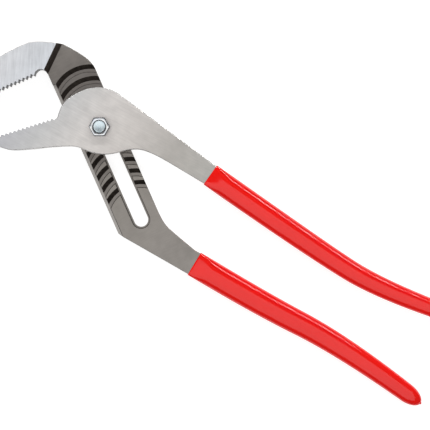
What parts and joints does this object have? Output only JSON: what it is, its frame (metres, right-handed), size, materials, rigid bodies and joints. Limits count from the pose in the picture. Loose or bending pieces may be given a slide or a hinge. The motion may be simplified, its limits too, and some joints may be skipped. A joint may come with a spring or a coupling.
{
  "type": "tongue and groove pliers",
  "caption": "Long straight-jaw slip-groove pliers with a curved-groove slotted pivot, toothed angled jaws, hex nut and bolt, and vinyl dipped handles.",
  "frame": {"origin": "on the pivot bolt's axis, at the outer face of the bolt's head, which is the lowest face as the tool lies flat", "axes": "+X from the jaws towards the handle ends, +Y towards the upper handle, +Z along the bolt from its head to the nut"},
  "size_m": [0.434, 0.1143, 0.0293],
  "materials": {
    "slotted_steel": "drop-forged carbon steel, satin, with ground jaw faces",
    "tongued_steel": "drop-forged carbon steel, ground and polished to a satin",
    "plated_steel": "bright zinc plated",
    "red_vinyl": "glossy dipped vinyl"
  },
  "bodies": {
    "slotted_half": {"slotted_member": "slotted_steel", "lower_grip": "red_vinyl"},
    "pivot": {"pivot_bolt": "plated_steel", "pivot_nut": "plated_steel"},
    "tongued_half": {"tongued_member": "tongued_steel", "upper_grip": "red_vinyl"}
  },
  "joints": [
    {"name": "groove_slide", "type": "slide", "parent": "slotted_half", "child": "pivot", "axis": [0.866, -0.5, 0], "range_m": [-0.02, 0.04]},
    {"name": "jaw_hinge", "type": "hinge", "parent": "pivot", "child": "tongued_half", "pos_m": [0, 0, 0], "axis": [0, 0, 1], "range_deg": [-4, 62]}
  ]
}
